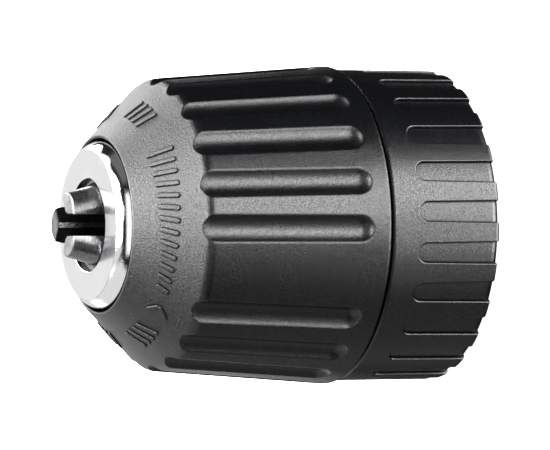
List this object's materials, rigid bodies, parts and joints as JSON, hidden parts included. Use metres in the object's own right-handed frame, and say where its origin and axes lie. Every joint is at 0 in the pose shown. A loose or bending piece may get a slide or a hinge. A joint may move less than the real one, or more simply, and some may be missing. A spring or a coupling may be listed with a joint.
{
  "type": "drill chuck",
  "caption": "Keyless drill chuck with a fluted black plastic front sleeve, a ribbed rear sleeve, a plated nose ring and inclined jaws that grip a drill shank when the sleeve is turned.",
  "frame": {"origin": "centre of the rear face, on the spindle axis", "axes": "+Z along the spindle axis towards the nose; +Y towards one jaw"},
  "size_m": [0.0424, 0.0424, 0.0534],
  "materials": {
    "moulded_plastic": "satin black moulded plastic, fine spark-eroded grain on the cone, smoother on the grip",
    "plated_steel": "bright plated and polished, fine turning marks",
    "jaw_steel": "hardened and ground steel",
    "body_steel": "machined steel",
    "bearing_steel": "hardened and polished bearing steel",
    "phosphated_steel": "dark phosphated steel",
    "zinc_steel": "zinc-plated pressed steel",
    "cage_brass": "stamped brass",
    "rubber": "matt black nitrile rubber"
  },
  "bodies": {
    "body": {"chuck_body": "body_steel", "rear_sleeve": "moulded_plastic", "rear_dust_cover": "zinc_steel", "rear_retaining_clip": "phosphated_steel", "sleeve_drag_ring": "rubber", "thrust_ring": "body_steel", "bearing_race_rear": "bearing_steel", "nose_ring": "plated_steel", "nose_washer": "bearing_steel"},
    "sleeve": {"front_sleeve": "moulded_plastic", "front_sleeve_liner": "zinc_steel", "nut_half_a": "phosphated_steel", "nut_half_b": "phosphated_steel", "nut_band": "zinc_steel", "bearing_race_front": "bearing_steel"},
    "ball_cage": {"bearing_cage": "cage_brass", "bearing_balls": "bearing_steel"},
    "jaw_one": {"jaw_1": "jaw_steel"},
    "jaw_two": {"jaw_2": "jaw_steel"},
    "jaw_three": {"jaw_3": "jaw_steel"}
  },
  "joints": [
    {"name": "sleeve_turn", "type": "hinge", "parent": "body", "child": "sleeve", "pos_m": [0, 0, 0.03], "axis": [0, 0, 1], "range_deg": [-1205, 2686]},
    {"name": "cage_turn", "type": "hinge", "parent": "body", "child": "ball_cage", "pos_m": [0, 0, 0.02425], "axis": [0, 0, 1], "range_deg": [-603, 1344]},
    {"name": "jaw_1_slide", "type": "slide", "parent": "body", "child": "jaw_one", "axis": [0, -0.2588, 0.9659], "range_m": [-0.01228, 0.00552]},
    {"name": "jaw_2_slide", "type": "slide", "parent": "body", "child": "jaw_two", "axis": [-0.2241, 0.1294, 0.9659], "range_m": [-0.01228, 0.00552]},
    {"name": "jaw_3_slide", "type": "slide", "parent": "body", "child": "jaw_three", "axis": [0.2241, 0.1294, 0.9659], "range_m": [-0.01228, 0.00552]}
  ],
  "couplings": [
    {"joint": "cage_turn", "follows": "sleeve_turn", "ratio": 0.5},
    {"joint": "jaw_1_slide", "follows": "sleeve_turn", "m_per_rad": -0.00026157},
    {"joint": "jaw_2_slide", "follows": "sleeve_turn", "m_per_rad": -0.00026157},
    {"joint": "jaw_3_slide", "follows": "sleeve_turn", "m_per_rad": -0.00026157}
  ]
}
